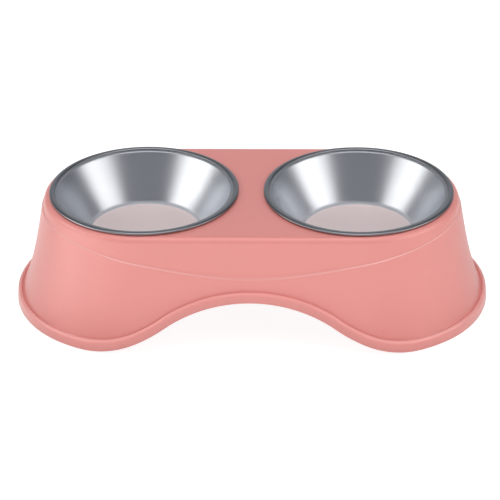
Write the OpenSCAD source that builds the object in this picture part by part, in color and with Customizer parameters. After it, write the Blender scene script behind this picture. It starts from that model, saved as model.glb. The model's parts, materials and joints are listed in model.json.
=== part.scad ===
// Double pet bowl. Two spun steel bowls drop into a one-piece moulded stand,
// which is hollow underneath, arched at the front and back, and stands on four
// push-in rubber feet.
// The origin lies on the floor under the middle of the stand. +X runs along the
// stand, the front faces -Y and +Z is up. Sizes are in millimetres.

/* [Bowls] */
// Outside diameter of a bowl's rolled rim
bowl_rim_d = 160; // [140:1:190]
// Gap between the two rims
rim_gap = 20.8; // [14:0.1:50]
// Depth of a bowl inside, from the top of its rim
bowl_depth = 39.6; // [30:0.2:60]
// Diameter of a bowl's floor inside its corner radius
bowl_floor_d = 90; // [70:1:110]
// Inside radius of the corner between a bowl's floor and wall
floor_corner_r = 4; // [2:0.5:8]
// Radius of the bend between a bowl's wall and the flat ring under its rim
neck_bend_r = 1.8; // [1.4:0.1:2.6]
// Sheet thickness of a bowl
sheet = 0.7; // [0.5:0.1:1]
// Width of the rolled rim
rim_w = 4.6; // [4:0.1:6]
// Height of the rolled rim
rim_h = 2.2; // [2.2:0.1:4]
// Width of the flat ring between the rolled rim and the wall's bend
ring_w = 1.6; // [1:0.1:3]
// Gap between a seated rim and its seat
seat_clear = 0.1; // [0.05:0.05:0.3]

/* [Stand] */
// Height of the stand from the bottom of its lip to its deck
stand_h = 95.4; // [80:0.1:130]
// Wall thickness of the stand
wall = 2.4; // [1.8:0.1:3]
// How far the deck's edge stands out past the rims
deck_margin = 3.9; // [1:0.1:12]
// Radius of the deck's edge
deck_edge_r = 5.4; // [1.5:0.1:6]
// Gap between a bowl's wall and its hole in the deck
hole_clear = 0.8; // [0.4:0.1:1.2]
// Height of the raised seat round each hole, which carries the rim
seat_h = 0.6; // [0.3:0.1:1.5]
// Slope of the wall from upright, in degrees
wall_draft = 10; // [5:1:18]
// Extra spread at the foot of the wall, past its slope
foot_flare = 6.2; // [1:0.2:12]

/* [Ridge] */
// How far the wall below the ridge stands out from the band above it
ridge_step = 0.9; // [0.4:0.1:1.4]
// Height of the ridge's sloping ledge at the ends
ridge_ledge = 1.2; // [0.8:0.1:2]
// Extra height of the ledge in the middle, where the ridge softens
ridge_soft = 1.6; // [0:0.1:2.4]
// Length along the stand in which the ridge dips and rises again
ridge_run = 380; // [300:1:440]

/* [Arch and lip] */
// Rise of the arch in the front and the back
arch_rise = 43.3; // [20:0.1:60]
// Span of the arch
arch_span = 281; // [200:1:300]
// Height of the lip at the ends of the stand
lip_h = 7.6; // [6:0.1:12]
// Height of the lip along the arch
arch_lip_h = 8.9; // [6:0.1:14]
// How far the lip stands out from the foot of the wall
lip_out = 4.8; // [3:0.1:8]
// Radius of the lip's top edge
lip_edge_r = 2.2; // [1:0.1:2.8]
// Depth of the narrow crease between the wall and the lip, below the lip's shelf
crease_dip = 1.1; // [0.2:0.1:1.4]
// Fall of the lip's shelf from the wall to its edge
lip_fall = 0.8; // [0.4:0.1:1.4]
// Lean of the lip's face, from its top edge to its bottom
lip_lean = 0.8; // [0.2:0.1:1.2]

/* [Underside] */
// Depth of the collar round each bowl's hole, below the deck
collar_h = 8.4; // [5:0.2:16]
// Thickness of the collars
collar_wall = 2; // [1.4:0.1:2.2]
// Depth of the cross ribs between the collars, below the deck
rib_h = 14.4; // [8:0.2:24]
// Thickness of the cross ribs and of the gussets at the feet
rib_wall = 1.8; // [1.2:0.1:2.4]

/* [Feet] */
// Diameter of a rubber foot's pad
foot_d = 12; // [9:0.5:15]
// Thickness of the pad
pad_h = 2.2; // [1.6:0.1:4]
// How far the pads reach below the lip
foot_show = 1.2; // [0.6:0.1:1.5]
// Radius of the pad's lower edge
pad_edge_r = 0.7; // [0.3:0.1:1]
// Diameter of a foot's stem
stem_d = 5; // [4:0.2:6]
// Diameter of the barb on a foot's stem
barb_d = 7; // [6.4:0.2:8]
// Height of the barb
barb_h = 3.6; // [2.4:0.2:5]
// Gap round a foot's stem and over its boss
stem_clear = 0.1; // [0.05:0.05:0.2]
// Outside diameter of a foot's boss
boss_d = 14; // [12:0.5:18]
// Height of a foot's boss
boss_h = 12; // [9:0.5:16]
// Thickness of the boss's end wall, which the stem passes through
boss_web = 2.6; // [1.8:0.2:4]
// Direction of the feet from the bowls' centres, in degrees from the long axis
foot_angle = 45; // [35:1:60]

/* [Hidden] */

$fn = 96;

stand_color = [0.89, 0.57, 0.55];
steel_color = [0.78, 0.79, 0.81];
rubber_color = [0.30, 0.29, 0.29];

// Overrun of every cut past the face that it opens
over = 1;

// Heights above the floor
lip_z = foot_show;
deck_z = lip_z + stand_h;
seat_z = deck_z + seat_h;
bowl_z = seat_z + seat_clear;

// Places across a bowl, from its centre
rim_r = bowl_rim_d / 2;
curl_r = rim_r - rim_w / 2;
neck_r = rim_r - rim_w - ring_w;
hole_r = neck_r + sheet + hole_clear;
half_pitch = (bowl_rim_d + rim_gap) / 2;

// The wall of the stand, measured out from the line between the bowls' centres
band_top_r = rim_r + deck_margin;
wall_top_r = band_top_r + ridge_step;
foot_depth = stand_h - lip_h;

// The arch is one circle through its crown that turns smoothly into another at
// each end of its span
arch_crown_share = 0.497;
arch_half = arch_span / 2;
arch_radii = (arch_half * arch_half + arch_rise * arch_rise) / (2 * arch_rise);
arch_crown_r = arch_radii * arch_crown_share;
arch_end_r = arch_radii - arch_crown_r;
arch_turn = arch_half * arch_crown_share;

// The lip reaches its full arch height at this share of the arch's rise
lip_blend_share = 0.4;

// Depth of the ridge as a share of the wall's height, at the ends and in the
// middle
ridge_end_share = 0.103;
ridge_mid_share = 0.758;

// Number of steps along a side and round an end of the stand
side_steps = 20;
end_steps = 32;

// Rows of the shell, as shares of the stretch that they divide
edge_shares = [0, 0.2, 0.4, 0.6, 0.8, 1];
band_shares = [0.5, 1];
wall_shares = [0, 0.16, 0.34, 0.52, 0.68, 0.82, 0.92, 1];
crease_shares = [1 / 3, 2 / 3, 1];
lip_edge_shares = [0, 1 / 3, 2 / 3, 1];
inside_shares = [1, 0.8, 0.55, 0.3, 0];
inside_edge_shares = [1, 0.5, 0];

// Radius of the deck's edge on the inside, and in the middle of its thickness
inside_edge_share = 0.55;
inside_edge_r = deck_edge_r * inside_edge_share;
middle_edge_r = (deck_edge_r + inside_edge_r) / 2;

// The lip's rounded edge touches its falling shelf and its leaning face. Its
// centre is given out from the wall and down from the groove
shelf_angle = atan2(lip_fall, lip_out);
face_angle = atan2(lip_lean, lip_h);
face_reach = lip_edge_r - lip_out * cos(face_angle) + lip_h * sin(face_angle);
corner_scale = cos(shelf_angle + face_angle);
lip_edge_out = (lip_edge_r * sin(face_angle) - face_reach * cos(shelf_angle)) / corner_scale;
lip_edge_down = (lip_edge_r * cos(face_angle) - face_reach * sin(shelf_angle)) / corner_scale;

// Width of the crease beside the wall, as a share of the lip's shelf
crease_share = 0.8;
crease_w = (lip_edge_out + lip_edge_r * sin(shelf_angle)) * crease_share;

// Depth of the crease at a share of its width, deepest a third of the way out,
// where the product of the shares is one over this scale
crease_scale = 27 / 4;
function crease_depth(s) = crease_dip * crease_scale * s * pow(1 - s, 2);

// Thickness of the lip's shelf, with a full wall left under the crease
shelf_h = wall + crease_dip;

// Radius of the wall below the ridge, at a depth below the deck
function wall_r(depth) =
  wall_top_r + depth * tan(wall_draft) + foot_flare * pow(depth / foot_depth, 4);

// Radius of the band above the ridge, at a depth below the deck
function band_r(depth) = wall_r(depth) - ridge_step;

// A point of the deck's rounded edge, as [distance out, depth below the deck]. The
// edge touches the deck and the sloping band, with both moved in by the inset
function edge_point(r, inset, share) =
  let (a = 90 + (wall_draft - 90) * share)
  [
    band_top_r - inset + (inset + r) * tan(wall_draft) + r * (cos(a) - 1 / cos(wall_draft)),
    inset + r * (1 - sin(a))
  ];
edge_drop = edge_point(deck_edge_r, 0, 1)[1];

// Height and slope of the arch over the bottom of the lip, at a place along X
function arch_z(x) =
  let (d = abs(x))
  d < arch_turn ? arch_rise - arch_crown_r + sqrt(pow(arch_crown_r, 2) - d * d) :
  d < arch_half ? arch_end_r - sqrt(pow(arch_end_r, 2) - pow(arch_half - d, 2)) :
  0;
function arch_run(x) =
  let (d = abs(x))
  d < arch_turn ? d / sqrt(pow(arch_crown_r, 2) - d * d) :
  d < arch_half ? (arch_half - d) / sqrt(pow(arch_end_r, 2) - pow(arch_half - d, 2)) :
  0;

// Upright height of the lip at a place along X
function lip_band(x) =
  let (blend = min(1, arch_z(x) / (arch_rise * lip_blend_share)))
  (lip_h + (arch_lip_h - lip_h) * blend) * sqrt(1 + pow(arch_run(x), 2));

// Depth of the ridge below the deck at a place along X
ridge_end = ridge_end_share * foot_depth;
ridge_mid = ridge_mid_share * (stand_h - arch_rise - arch_lip_h);
function ridge_depth(x) =
  let (d = min(abs(x), ridge_run / 2))
  ridge_end + (ridge_mid - ridge_end) * pow(cos(180 * d / ridge_run), 2);
function ledge_h(x) =
  let (d = min(abs(x), ridge_run / 2))
  ridge_ledge + ridge_soft * pow(cos(180 * d / ridge_run), 6);

// Stations round the stand: a point on the line between the bowls' centres and
// the outward direction there, anticlockwise from the left end of the front
function side_station(share, facing) =
  [[facing * half_pitch * (1 - 2 * share), 0], [0, facing]];
function end_station(share, facing) =
  let (a = 180 * share - 90)
  [[facing * half_pitch, 0], [facing * cos(a), facing * sin(a)]];
stations = concat(
  [for (i = [0:side_steps - 1]) side_station(i / side_steps, -1)],
  [for (i = [0:end_steps - 1]) end_station(i / end_steps, 1)],
  [for (i = [0:side_steps - 1]) side_station(i / side_steps, 1)],
  [for (i = [0:end_steps - 1]) end_station(i / end_steps, -1)]
);

// Profile of the shell at one station, as [distance out, height], from the
// deck's edge down the outside, round the lip and up the inside
function shell_profile(station) =
  let (
    deck_x = station[0][0] + station[1][0] * band_top_r,
    lip_x = station[0][0] + station[1][0] * (wall_r(foot_depth) + lip_out),
    ridge = ridge_depth(deck_x),
    low_ridge = ridge + ledge_h(deck_x),
    bottom = arch_z(lip_x),
    groove = stand_h - bottom - lip_band(lip_x),
    groove_r = wall_r(groove),
    lip_r = groove_r + lip_out,
    inside_top = groove + shelf_h
  )
  concat(
    [for (s = edge_shares)
      let (p = edge_point(deck_edge_r, 0, s))
      [p[0], deck_z - p[1]]],
    [for (s = band_shares)
      let (depth = edge_drop + (ridge - edge_drop) * s)
      [band_r(depth), deck_z - depth]],
    [for (s = wall_shares)
      let (depth = low_ridge + (groove - low_ridge) * s)
      [wall_r(depth), deck_z - depth]],
    [for (s = crease_shares)
      let (out = crease_w * s)
      [groove_r + out, deck_z - groove - crease_depth(s) - out * tan(shelf_angle)]],
    [for (s = lip_edge_shares)
      let (a = 90 - shelf_angle + (face_angle + shelf_angle - 90) * s)
      [
        groove_r + lip_edge_out + lip_edge_r * cos(a),
        deck_z - groove - lip_edge_down + lip_edge_r * sin(a)
      ]],
    [
      [lip_r, lip_z + bottom],
      [lip_r - wall, lip_z + bottom],
      [lip_r - wall, deck_z - inside_top]
    ],
    [for (s = inside_shares)
      let (depth = low_ridge + (inside_top - low_ridge) * s)
      [wall_r(depth) - wall, deck_z - depth]],
    [[band_r(ridge) - wall, deck_z - ridge]],
    [for (s = inside_edge_shares)
      let (p = edge_point(inside_edge_r, wall, s))
      [p[0], deck_z - p[1]]]
  );

// Faces that close a flat row of the shell: strips across the stand, from each
// station at the front to its mirror image at the back
function cap(first, faces_down) =
  let (
    turns = len(stations),
    mirrored = turns - end_steps
  )
  [for (k = [-end_steps / 2:side_steps + end_steps / 2 - 1])
    let (
      a = first + (k + turns) % turns,
      b = first + (k + 1 + turns) % turns,
      c = first + (mirrored - k) % turns,
      d = first + (mirrored - k - 1) % turns
    )
    each concat(
      a == c ? [] : [faces_down ? [a, d, c] : [a, c, d]],
      b == d ? [] : [faces_down ? [a, b, d] : [a, d, b]]
    )
  ];

// The moulded shell: its profile lofted through every station
module shell() {
  profiles = [for (s = stations) shell_profile(s)];
  turns = len(stations);
  rows = len(profiles[0]);
  points = [
    for (row = [0:rows - 1])
      for (i = [0:turns - 1])
        let (out = profiles[i][row][0])
        [
          stations[i][0][0] + stations[i][1][0] * out,
          stations[i][0][1] + stations[i][1][1] * out,
          profiles[i][row][1]
        ]
  ];
  skin = [
    for (row = [0:rows - 2])
      for (i = [0:turns - 1])
        let (
          next = (i + 1) % turns,
          a = row * turns + i,
          b = row * turns + next,
          c = a + turns,
          d = b + turns
        )
        each [[a, b, d], [a, d, c]]
  ];
  deck = cap(0, false);
  ceiling = cap((rows - 1) * turns, true);
  polyhedron(points = points, faces = concat(deck, ceiling, skin));
}

// A collar that stiffens the edge of a bowl's hole, from inside the deck down
module collar() {
  translate([0, 0, deck_z - collar_h])
    cylinder(h = collar_h - wall / 2, r = hole_r + collar_wall);
}

// The raised seat round a hole, under the middle of the rolled rim
module seat() {
  translate([0, 0, deck_z - wall / 2])
    cylinder(h = seat_h + wall / 2, r = curl_r);
}

// A bowl's hole through the seat, the deck and the collar
module bowl_hole() {
  translate([0, 0, deck_z - collar_h - over])
    cylinder(h = collar_h + seat_h + 2 * over, r = hole_r);
}

// A rib across the stand between the collars, from one wall to the other
module cross_rib() {
  half = concat(
    [[band_r(rib_h) - wall / 2, rib_h]],
    [for (s = inside_edge_shares) edge_point(middle_edge_r, wall / 2, s)]
  );
  outline = concat(
    [for (p = half) [p[0], deck_z - p[1]]],
    [for (i = [len(half) - 1:-1:0]) [-half[i][0], deck_z - half[i][1]]]
  );
  translate([-rib_wall / 2, 0, 0])
    rotate([90, 0, 90])
      linear_extrude(height = rib_wall)
        polygon(outline);
}
rib_x = (half_pitch - hole_r - collar_wall) / 2;

// A foot's boss joins the wall at its top and stands clear of the lip
boss_z = pad_h;
boss_top_z = boss_z + boss_h;
boss_r = wall_r(deck_z - boss_top_z) - wall / 3 - boss_d / 2;

// Puts a piece made at the origin at one foot: side is -1 or 1 along X, and
// face is -1 at the front and 1 at the back
module at_foot(side, face) {
  translate([side * half_pitch, 0, 0])
    rotate([0, 0, side > 0 ? face * foot_angle : 180 - face * foot_angle])
      translate([boss_r, 0, 0])
        children();
}

// Solid of one boss, with the gusset that ties it to the wall and the lip
module foot_boss() {
  gusset_top = deck_z - boss_top_z;
  shelf = foot_depth + wall / 2;
  gusset = [
    [0, boss_z],
    [wall_r(foot_depth) + lip_out - wall / 2 - boss_r, boss_z],
    [wall_r(foot_depth) + lip_out - wall / 2 - boss_r, deck_z - foot_depth - shelf_h],
    [wall_r(shelf) - wall / 2 - boss_r, deck_z - foot_depth - wall / 2],
    [wall_r(gusset_top) - wall / 2 - boss_r, boss_top_z],
    [0, boss_top_z]
  ];
  translate([0, 0, boss_z])
    cylinder(h = boss_h, d = boss_d);
  translate([0, rib_wall / 2, 0])
    rotate([90, 0, 0])
      linear_extrude(height = rib_wall)
        polygon(gusset);
}

// The stem's hole through the boss's end wall and the pocket for its barb
module foot_bore() {
  translate([0, 0, boss_z - over])
    cylinder(h = boss_web + 2 * over, d = stem_d + 2 * stem_clear);
  translate([0, 0, boss_z + boss_web])
    cylinder(h = boss_h - boss_web + over, d = boss_d - 2 * rib_wall);
}

// One-piece moulded stand
module stand() {
  color(stand_color)
    difference() {
      union() {
        shell();
        for (side = [-1, 1]) {
          translate([side * half_pitch, 0, 0]) {
            collar();
            seat();
          }
          translate([side * rib_x, 0, 0])
            cross_rib();
          for (face = [-1, 1])
            at_foot(side, face)
              foot_boss();
        }
      }
      for (side = [-1, 1]) {
        translate([side * half_pitch, 0, 0])
          bowl_hole();
        for (face = [-1, 1])
          at_foot(side, face)
            foot_bore();
      }
    }
}

// Section of a bowl, as [radius, height over its seat], from the centre of the
// floor up the inside, over the rolled rim, round its curl and down the outside
ring_z = sheet + seat_clear;
floor_z = rim_h - bowl_depth;
corner_c = [bowl_floor_d / 2, floor_z + floor_corner_r];
neck_c = [neck_r, ring_z - neck_bend_r];
neck_way = neck_c - corner_c;
cone_lean = acos((neck_bend_r + floor_corner_r) / norm(neck_way)) - atan2(neck_way[1], neck_way[0]);
curl_c = [curl_r, rim_h / 2];
curl_start = 180 + asin(1 - 2 * ring_z / rim_h);
curl_end = -105;
curl_step = 15;
bend_steps = 6;

function arc(c, r, a, b) =
  [for (i = [0:bend_steps]) let (t = a + (b - a) * i / bend_steps) c + r * [cos(t), sin(t)]];
function curl(inset, a, b) =
  let (steps = round(abs(b - a) / curl_step))
  [for (i = [0:steps])
    let (t = a + (b - a) * i / steps)
    curl_c + [(rim_w / 2 - inset) * cos(t), (rim_h / 2 - inset) * sin(t)]];

bowl_section = concat(
  [[0, floor_z]],
  arc(corner_c, floor_corner_r, -90, -cone_lean),
  arc(neck_c, neck_bend_r, 180 - cone_lean, 90),
  curl(0, curl_start, curl_end),
  curl(sheet, curl_end, 180),
  [[curl_r - rim_w / 2 + sheet, ring_z - sheet]],
  arc(neck_c, neck_bend_r - sheet, 90, 180 - cone_lean),
  arc(corner_c, floor_corner_r + sheet, -cone_lean, -90),
  [[0, floor_z - sheet]]
);

// A spun bowl, seated in its hole
module bowl() {
  color(steel_color)
    translate([0, 0, bowl_z])
      rotate_extrude()
        polygon(bowl_section);
}

module left_bowl() {
  translate([-half_pitch, 0, 0])
    bowl();
}

module right_bowl() {
  translate([half_pitch, 0, 0])
    bowl();
}

// Section of a rubber foot, as [radius, height over the floor]: a pad with a
// hollow underneath, a stem, and a barb that holds above the boss's end wall
hollow_d = foot_d / 3;
hollow_h = pad_h / 4;
barb_z = boss_z + boss_web + stem_clear;
barb_tip_d = stem_d * 0.7;
barb_land = barb_h / 6;
edge_c = [foot_d / 2 - pad_edge_r, pad_edge_r];
foot_section = concat(
  [[0, hollow_h], [hollow_d / 2, hollow_h], [hollow_d / 2 + hollow_h / 2, 0]],
  arc(edge_c, pad_edge_r, -90, 0),
  [
    [foot_d / 2, pad_h],
    [stem_d / 2, pad_h],
    [stem_d / 2, barb_z],
    [barb_d / 2, barb_z],
    [barb_d / 2, barb_z + barb_land],
    [barb_tip_d / 2, barb_z + barb_h],
    [0, barb_z + barb_h]
  ]
);

// A push-in rubber foot in its boss
module foot(side, face) {
  color(rubber_color)
    at_foot(side, face)
      rotate_extrude()
        polygon(foot_section);
}

module foot_front_left() {
  foot(-1, -1);
}

module foot_front_right() {
  foot(1, -1);
}

module foot_back_left() {
  foot(-1, 1);
}

module foot_back_right() {
  foot(1, 1);
}

stand();
left_bowl();
right_bowl();
foot_front_left();
foot_front_right();
foot_back_left();
foot_back_right();
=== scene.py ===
# Double pet bowl: two spun steel bowls in a moulded stand on four rubber feet.
# Metres, +X along the stand, the front towards -Y and +Z up.
import json
import math
from functools import partialmethod
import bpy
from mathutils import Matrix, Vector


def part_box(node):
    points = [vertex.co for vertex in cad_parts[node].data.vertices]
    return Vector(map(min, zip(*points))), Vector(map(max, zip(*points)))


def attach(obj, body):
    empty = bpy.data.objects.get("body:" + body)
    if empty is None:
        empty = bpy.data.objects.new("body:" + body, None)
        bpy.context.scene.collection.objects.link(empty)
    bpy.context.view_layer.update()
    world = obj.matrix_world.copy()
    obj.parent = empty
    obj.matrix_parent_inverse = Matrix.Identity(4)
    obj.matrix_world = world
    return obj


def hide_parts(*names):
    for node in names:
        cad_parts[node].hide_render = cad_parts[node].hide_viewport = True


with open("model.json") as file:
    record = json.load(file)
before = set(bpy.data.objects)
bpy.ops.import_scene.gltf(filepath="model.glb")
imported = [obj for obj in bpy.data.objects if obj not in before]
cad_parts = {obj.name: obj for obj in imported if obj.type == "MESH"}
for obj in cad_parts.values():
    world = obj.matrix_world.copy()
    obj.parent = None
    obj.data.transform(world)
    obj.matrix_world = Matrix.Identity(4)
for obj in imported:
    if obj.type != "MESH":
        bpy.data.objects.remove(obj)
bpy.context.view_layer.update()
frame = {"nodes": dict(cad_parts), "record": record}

from types import SimpleNamespace

import bmesh
import bpy
from mathutils import Matrix, Vector

bl_info = {
    "name": "Double Pet Bowl",
    "version": (1, 0, 0),
    "blender": (4, 5, 0),
    "location": "View3D > Sidebar > Pet Bowl",
    "description": "Dresses the packed double pet bowl: moulded stand, spun bowls and rubber feet",
    "category": "Object",
}

MM = 0.001
WELD = 1e-6  # points of a turned section that are closer than this become one

# Sizes and places that the frame holds
BOWL_LOW, BOWL_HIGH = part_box("right_bowl")
STAND_LOW, STAND_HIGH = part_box("stand")
RIM_R = (BOWL_HIGH.x - BOWL_LOW.x) / 2
HALF_PITCH = (BOWL_HIGH.x + BOWL_LOW.x) / 2
SEAT_Z = STAND_HIGH.z
SEAT_H = 0.6 * MM
DECK_Z = SEAT_Z - SEAT_H
STAND_H = DECK_Z - STAND_LOW.z
FOOT_NODES = sorted(name for name in frame["nodes"] if name.startswith("foot_"))
FINISHES = {m["slot"]: m for m in frame["record"]["materials"]}


def number(name, description, default, least=0, **extra):
    """A setting that is a number."""
    return bpy.props.FloatProperty(
        name=name, description=description, default=default, min=least, **extra
    )


def length(name, description, millimetres):
    """A length setting whose default is given in millimetres."""
    extra = {"precision": 4, "unit": "LENGTH", "subtype": "DISTANCE"}
    return number(name, description, millimetres * MM, **extra)


def share(name, description, default):
    """A setting that is a share, from 0 to 1."""
    return number(name, description, default, max=1, subtype="FACTOR")


def angle(name, description, degrees):
    """An angle setting whose default is given in degrees."""
    return number(name, description, math.radians(degrees), -math.pi, subtype="ANGLE")


def whole(name, description, default, least):
    """A setting that is a whole number."""
    return bpy.props.IntProperty(name=name, description=description, default=default, min=least)


def colour(name, description, default):
    """A colour setting, in linear light."""
    return bpy.props.FloatVectorProperty(
        name=name, description=description, default=default, size=3, min=0, max=1, subtype="COLOR"
    )


def linear(value):
    """One channel of a colour as written, turned to linear light."""
    return value / 12.92 if value <= 0.04045 else ((value + 0.055) / 1.055) ** 2.4


def finish_colour(slot):
    """The record's colour for a material slot, in linear light."""
    return [linear(value) for value in FINISHES[slot]["base_color"]]


class PETBOWL_PG_stand(bpy.types.PropertyGroup):
    """Sizes of the moulded stand."""

    wall: length("Wall", "Thickness of the moulded wall", 2.4)
    deck_margin: length("Deck margin", "How far the deck's edge stands out past the rims", 3.9)
    deck_edge_r: length("Deck edge", "Radius of the deck's edge", 5.4)
    inside_edge: share("Inside edge", "Share of the deck edge's radius on the inside", 0.55)
    hole_clear: length("Hole gap", "Gap between a bowl's wall and its hole", 0.8)
    hole_edge_r: length("Hole edge", "Radius of the edge of a bowl's hole", 0.4)
    seat_edge_r: length("Seat edge", "Radius of the raised seat's outer edge", 0.2)
    draft: angle("Wall slope", "Slope of the wall from upright", 10)
    foot_flare: length("Foot flare", "Extra spread at the foot of the wall", 6.2)
    foot_corner: length("Foot corner", "How much fuller the foot's corners are than round", 1)
    foot_tuck: length("Foot tuck", "How much slimmer the foot is towards the front and back", 0.65)
    ridge_step: length("Ridge step", "How far the wall stands out below the ridge", 1)
    ridge_ledge: length("Ridge ledge", "Height of the ridge's ledge at the ends", 0.9)
    ridge_soft: length("Ridge softening", "Extra height of the ledge in the middle", 1.6)
    ridge_run: length("Ridge run", "Length in which the ridge dips and rises again", 380)
    ridge_end: share("Ridge at the ends", "Depth of the ridge at the ends", 0.103)
    ridge_mid: share("Ridge in the middle", "Depth of the ridge in the middle", 0.758)
    arch_rise: length("Arch rise", "Rise of the arch in the front and the back", 43.3)
    arch_span: length("Arch span", "Span of the arch", 281)
    arch_crown: share("Arch crown", "Share of the arch that its crown's circle takes", 0.497)
    lip_h: length("Lip height", "Height of the lip at the ends", 7.6)
    arch_lip_h: length("Arch lip height", "Height of the lip along the arch", 8.9)
    lip_blend: share("Lip blend", "Share of the arch's rise at which its lip is full", 0.4)
    lip_out: length("Lip", "How far the lip stands out from the wall", 4.8)
    lip_edge_r: length("Lip edge", "Radius of the lip's top edge", 2.2)
    lip_fall: length("Lip fall", "Fall of the lip's shelf", 0.8)
    lip_lean: length("Lip lean", "Lean of the lip's face over its height", 0.8)
    lip_foot_r: length("Lip foot", "Radius of the lip's bottom edges", 0.4)
    lip_rise: length("Lip rise", "How much higher the lip's ends are than in the solids", 2.1)
    lip_spread: length("Lip spread", "How much wider the lip's shelf is than in the solids", 0.75)
    crease: share("Crease width", "Share of the lip's shelf that the crease takes", 0.8)
    crease_dip: length("Crease depth", "Depth of the crease below the lip's shelf", 1.1)
    collar_h: length("Collar", "Depth of the collar round each hole", 8.4)
    collar_wall: length("Collar wall", "Thickness of the collars", 2)
    rib_h: length("Rib", "Depth of the cross ribs below the deck", 14.4)
    rib_wall: length("Rib wall", "Thickness of the ribs and gussets", 1.8)
    boss_d: length("Boss", "Outside diameter of a foot's boss", 14)
    boss_h: length("Boss height", "Height of a foot's boss", 12)
    boss_web: length("Boss web", "Thickness of the boss's end wall", 2.6)
    stations: whole("Stations", "Sections round the stand", 320, 64)


class PETBOWL_PG_bowl(bpy.types.PropertyGroup):
    """Sizes of a spun bowl."""

    floor_d: length("Floor", "Diameter of the floor inside its corner", 90)
    corner_r: length("Corner", "Inside radius between the floor and the wall", 4)
    neck_r: length("Neck bend", "Radius between the wall and the ring under the rim", 1.8)
    sheet: length("Sheet", "Thickness of the steel", 0.7)
    rim_w: length("Rim width", "Width of the rolled rim", 4.6)
    rim_h: length("Rim height", "Height of the rolled rim", 2.2)
    ring_w: length("Ring", "Width of the flat ring inside the rolled rim", 1.6)
    seat_clear: length("Seat gap", "Gap between the rim and its seat", 0.1)
    steps: whole("Steps", "Steps round a bowl", 256, 32)


class PETBOWL_PG_foot(bpy.types.PropertyGroup):
    """Sizes of a push-in rubber foot."""

    pad_h: length("Pad", "Thickness of the pad", 2.2)
    pad_edge_r: length("Pad edge", "Radius of the pad's lower edge", 0.7)
    stem_d: length("Stem", "Diameter of the stem", 5)
    stem_clear: length("Stem gap", "Gap round the stem and over its boss", 0.1)
    barb_d: length("Barb", "Diameter of the barb", 7)
    barb_h: length("Barb height", "Height of the barb", 3.6)
    grip_depth: length("Grip rings", "Depth of the rings under the pad", 0.25)
    steps: whole("Steps", "Steps round a foot", 64, 16)


class PETBOWL_PG_finish(bpy.types.PropertyGroup):
    """Colours and finishes."""

    plastic: colour("Plastic", "Colour of the moulded plastic", finish_colour("moulded_plastic"))
    steel: colour("Steel", "Colour of the spun steel", finish_colour("brushed_steel"))
    rubber: colour("Rubber", "Colour of the rubber feet", finish_colour("foot_rubber"))
    plastic_rough: share("Plastic roughness", "Roughness of the moulded plastic", 0.32)
    # Strengths of the painted highlight on the stand's edges and of the painted shade in its
    # hollows and towards its foot
    painted_highlight: share("Painted highlight", "How much paler the plastic is on a rubbed edge", 0.12)
    painted_shade: share("Painted shade", "How much darker the plastic is in a hollow", 0.17)
    steel_rough: share("Steel roughness", "Roughness of the brushed steel", 0.38)
    steel_gain: share("Steel gain", "How much brighter the steel is than its plain colour", 0.12)
    brushing: share("Brushing", "How far the brush lines stretch a reflection across them", 0.5)
    # The bowl floor's colour is the matt steel's own with a painted warm reflection in it
    bowl_floor_and_warm_reflection: colour("Bowl floor", "Colour of a bowl's matt floor", (1, 0.89, 0.865))
    floor_rough: share("Bowl floor roughness", "Roughness of a bowl's matt floor", 0.75)
    rim_rough: share("Rim roughness", "Roughness of the polished rim", 0.3)
    # Rim tone and ring tone are painted shade: darker copies of the steel's colour on the polished
    # rim and the ring, standing for the dark room they reflect
    rim_tone_painted_shade: share("Rim tone", "Brightness of the polished rim beside the brushed steel", 0.45)
    ring_tone_painted_shade: share("Ring tone", "Brightness of the ring inside the rim", 0.7)
    ring_rough: share("Ring roughness", "Roughness of the ring inside the rim", 0.6)
    grain: length("Plastic grain", "Size of the plastic's grain", 0.5)
    brush: length("Brush lines", "Width of the steel's brush lines", 0.35)


class PETBOWL_PG_stage(bpy.types.PropertyGroup):
    """Camera, floor and light."""

    camera_place: bpy.props.FloatVectorProperty(
        name="Camera", description="Place of the camera", default=(0.03575, -1.7570, 1.01337),
        size=3, subtype="TRANSLATION", unit="LENGTH",
    )
    pitch: angle("Pitch", "How far the camera looks down", 28.974)
    yaw: angle("Yaw", "How far the camera looks to the right", -1.213)
    roll: angle("Roll", "Turn of the camera about its own line of sight", -0.412)
    focal: number("Focal length", "Focal length in millimetres", 169.09, 10)
    floor_size: length("Floor", "Side of the floor", 8000)
    side_light: share("Side light", "Level of each softbox beside the camera", 0.31)
    side_shine: share("Side shine", "Level of each softbox beside the camera in gloss", 0.37)
    side_colour: colour("Side colour", "Colour of the softboxes at the sides", (1, 0.985, 0.95))
    front_light: share("Front light", "Level of the softbox in front", 0.24)
    top_light: share("Top light", "Level of the softbox overhead", 0.34)
    fill: share("Fill", "Level of the plain fill light", 0.34)
    floor_tone: share("Floor tone", "Tone of the floor in plain light", 0.36)
    floor_bounce: share("Floor bounce", "Tone of the floor in the light it throws back", 0.95)
    floor_glow: share("Floor glow", "How far the floor shines by itself", 0.88)
    sheen_left: number("Sheen, left", "Extra shine of the floor in gloss, left", 2)
    sheen_right: number("Sheen, right", "Extra shine of the floor in gloss, right", -0.5, -1)
    shade_right: share("Shade, right", "How much darker the floor is in gloss, back right", 0.3)
    dim_left: colour("Room, left", "What shines on gloss from the left", (0.18, 0.19, 0.2))
    dim_right: colour("Room, right", "What shines on gloss from the right", (0.05, 0.06, 0.08))
    beside: share("Sides in gloss", "Soft glow round the softboxes in gloss", 0.08)
    behind: colour("Backdrop in gloss", "What shines on gloss from behind", (0.52, 0.54, 0.57))
    overhead: colour("Ceiling in gloss", "What shines on gloss from above", (0.97, 0.96, 0.98))
    overhead_level: number("Ceiling level", "Level of the ceiling in gloss", 2)


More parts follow.
